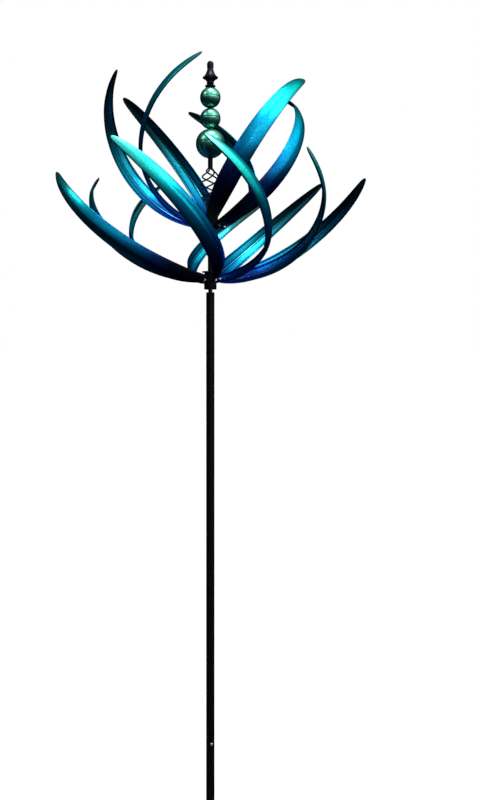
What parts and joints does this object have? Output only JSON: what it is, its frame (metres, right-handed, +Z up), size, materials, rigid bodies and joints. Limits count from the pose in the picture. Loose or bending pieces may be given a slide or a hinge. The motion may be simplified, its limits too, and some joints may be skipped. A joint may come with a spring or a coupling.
{
  "type": "kinetic wind sculpture",
  "caption": "Garden wind sculpture: leaf blades in opposed, counter-turning tiers on ball bearings around a pole, under a twisted wire basket, stacked hollow balls and a turned finial.",
  "frame": {"origin": "on the pole's axis at the soil line, which is the underside of the step bar", "axes": "+Z up along the pole; +X along the step bar, to the right in the front view; -Y towards the front"},
  "size_m": [0.6934, 0.659, 2.159],
  "materials": {
    "black_paint": "satin black powder coat",
    "blade_paint": "hammered metallic lacquer, navy at the root through blue and cyan to teal at the tip",
    "ball_paint": "pearl teal green gloss lacquer",
    "finial_gloss": "near-black violet gloss lacquer",
    "bearing_steel": "ground and polished bearing steel",
    "bare_steel": "drawn steel",
    "zinc_fastener": "bright zinc plate",
    "black_nylon": "moulded nylon"
  },
  "bodies": {
    "pole": {"ball_washers": "black_paint", "basket_base": "black_paint", "basket_wires": "black_paint", "bearing_balls": "bearing_steel", "bearing_inner_races": "bearing_steel", "bearing_spacers": "bare_steel", "finial": "finial_gloss", "finial_collar": "finial_gloss", "finial_rod": "bare_steel", "fork_centre_spike": "black_paint", "fork_side_prongs": "black_paint", "fork_step_bar": "black_paint", "fork_stub": "black_paint", "hub_sleeve": "black_paint", "large_ball_lower_half": "ball_paint", "large_ball_upper_half": "ball_paint", "middle_ball_lower_half": "ball_paint", "middle_ball_upper_half": "ball_paint", "pole_lower_coupler": "black_paint", "pole_lower_tube": "black_paint", "pole_middle_tube": "black_paint", "pole_screws": "zinc_fastener", "pole_top_plug": "black_nylon", "pole_upper_coupler": "black_paint", "pole_upper_tube": "black_paint", "spindle": "bare_steel", "spindle_clip": "zinc_fastener", "stem": "black_paint", "top_ball_lower_half": "ball_paint", "top_ball_upper_half": "ball_paint", "top_bush": "black_nylon"},
    "lower_rotor": {"lower_arms": "black_paint", "lower_bearing_outer_races": "bearing_steel", "lower_blade_1": "blade_paint", "lower_blade_2": "blade_paint", "lower_blade_3": "blade_paint", "lower_blade_4": "blade_paint", "lower_blade_5": "blade_paint", "lower_blade_6": "blade_paint", "lower_blade_7": "blade_paint", "lower_blade_8": "blade_paint", "lower_blade_9": "blade_paint", "lower_blade_bolts": "zinc_fastener", "lower_blade_nuts": "zinc_fastener", "lower_hub_flange": "black_paint", "lower_hub_shell": "black_paint"},
    "upper_rotor": {"upper_arms": "black_paint", "upper_bearing_outer_races": "bearing_steel", "upper_blade_1": "blade_paint", "upper_blade_2": "blade_paint", "upper_blade_3": "blade_paint", "upper_blade_4": "blade_paint", "upper_blade_5": "blade_paint", "upper_blade_6": "blade_paint", "upper_blade_bolts": "zinc_fastener", "upper_blade_nuts": "zinc_fastener", "upper_hub_flange": "black_paint", "upper_hub_shell": "black_paint"}
  },
  "joints": [
    {"name": "lower_rotor_spin", "type": "hinge", "parent": "pole", "child": "lower_rotor", "pos_m": [0, 0, 1.406], "axis": [0, 0, 1], "continuous": true},
    {"name": "upper_rotor_spin", "type": "hinge", "parent": "pole", "child": "upper_rotor", "pos_m": [0, 0, 1.5195], "axis": [0, 0, 1], "continuous": true}
  ]
}
